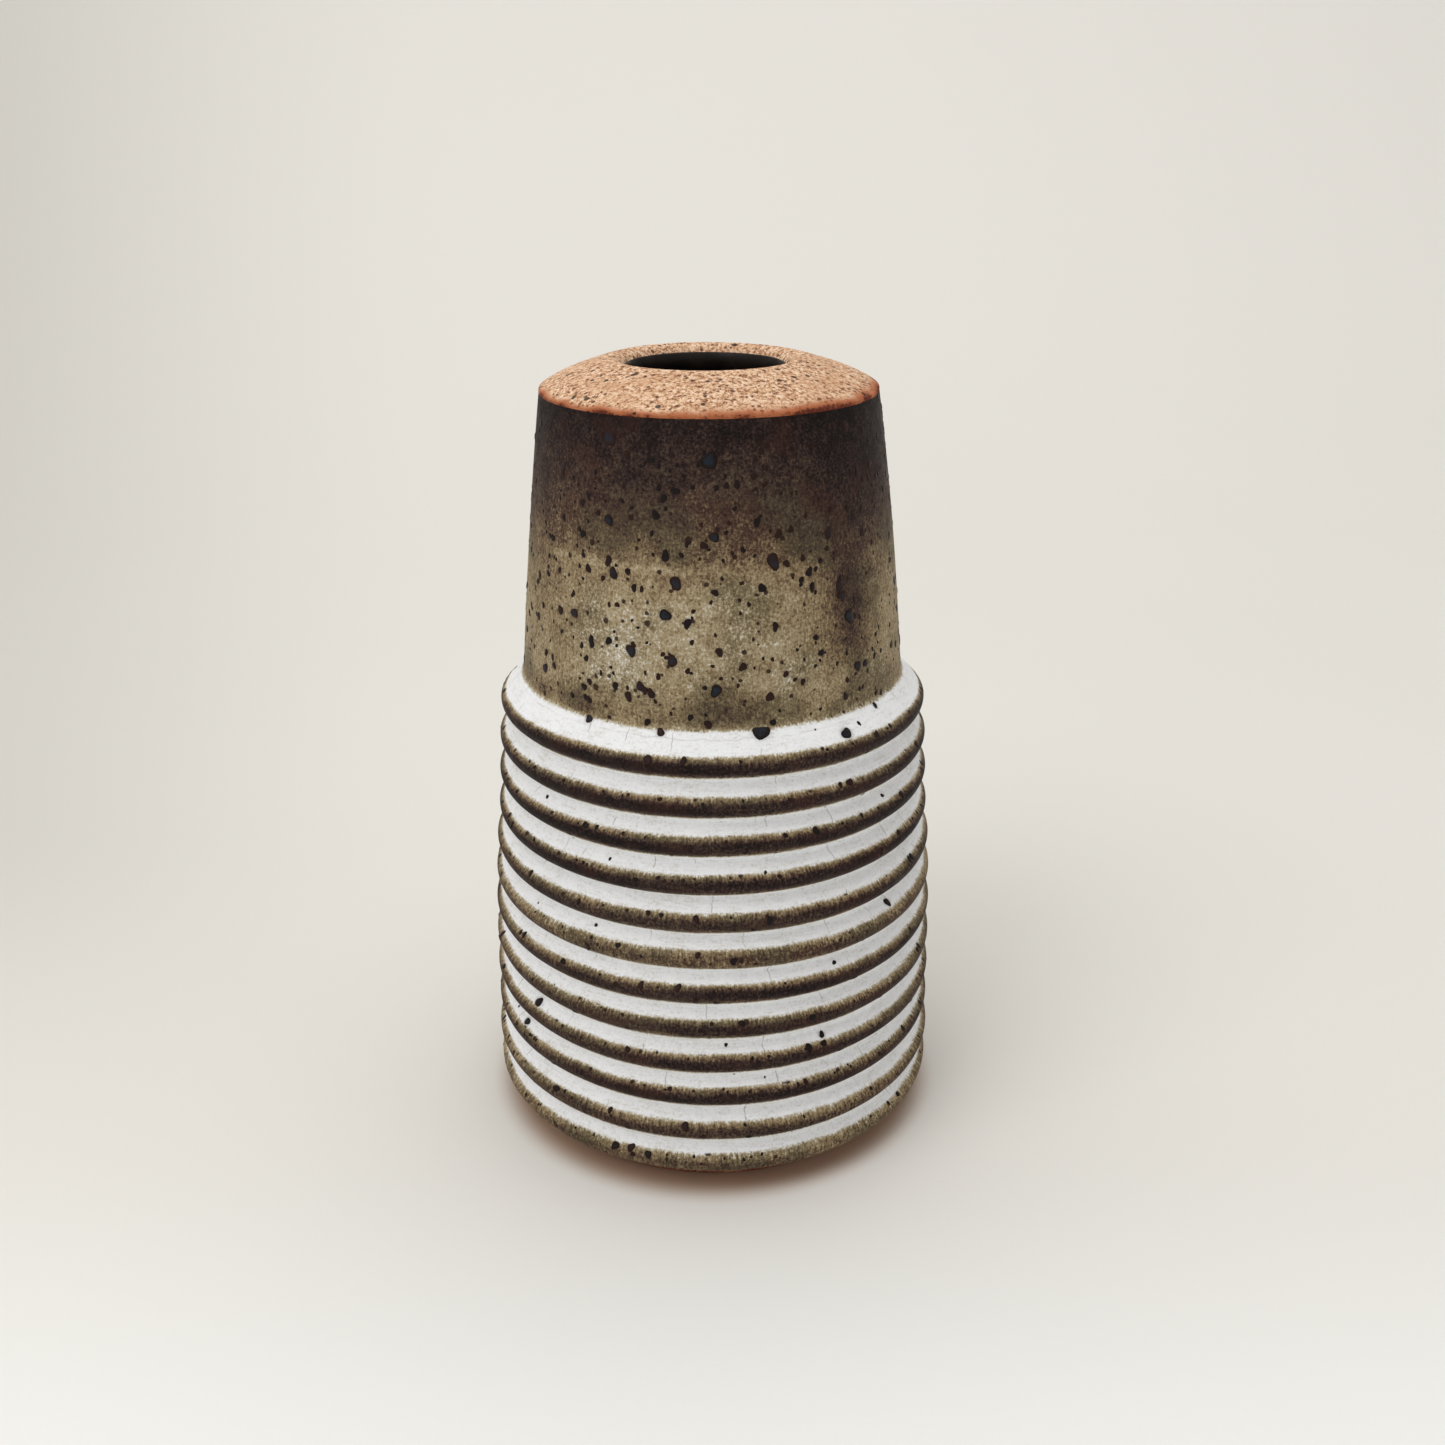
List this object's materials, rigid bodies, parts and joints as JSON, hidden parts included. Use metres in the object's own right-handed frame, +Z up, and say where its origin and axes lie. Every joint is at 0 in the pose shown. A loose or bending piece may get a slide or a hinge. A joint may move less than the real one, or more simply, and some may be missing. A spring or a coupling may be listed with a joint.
{
  "type": "bud vase",
  "caption": "Ribbed stoneware bud vase with a turned barrel, a ledge, a tapered glazed neck and a bare domed shoulder round a small mouth.",
  "frame": {"origin": "middle of the foot's underside, on the surface the vase stands on", "axes": "+Z up along the vase's turning axis, through the mouth; X and Y lie in the surface it stands on"},
  "size_m": [0.08, 0.08, 0.1332],
  "materials": {
    "bare_stoneware": "matte, gritty, unglazed",
    "neck_glaze": "satin, mottled, iron-speckled",
    "white_glaze": "satin white, finely crazed",
    "rib_glaze": "satin, dark, broken thin",
    "liner_glaze": "satin dark liner"
  },
  "bodies": {
    "root": {"stoneware_body": "bare_stoneware", "neck_glaze": "neck_glaze", "liner_glaze": "liner_glaze", "white_glaze_01": "white_glaze", "white_glaze_02": "white_glaze", "white_glaze_03": "white_glaze", "white_glaze_04": "white_glaze", "white_glaze_05": "white_glaze", "white_glaze_06": "white_glaze", "white_glaze_07": "white_glaze", "white_glaze_08": "white_glaze", "white_glaze_09": "white_glaze", "white_glaze_10": "white_glaze", "white_glaze_11": "white_glaze", "white_glaze_12": "white_glaze", "rib_glaze_01": "rib_glaze", "rib_glaze_02": "rib_glaze", "rib_glaze_03": "rib_glaze", "rib_glaze_04": "rib_glaze", "rib_glaze_05": "rib_glaze", "rib_glaze_06": "rib_glaze", "rib_glaze_07": "rib_glaze", "rib_glaze_08": "rib_glaze", "rib_glaze_09": "rib_glaze", "rib_glaze_10": "rib_glaze", "rib_glaze_11": "rib_glaze", "rib_glaze_12": "rib_glaze"}
  },
  "joints": []
}
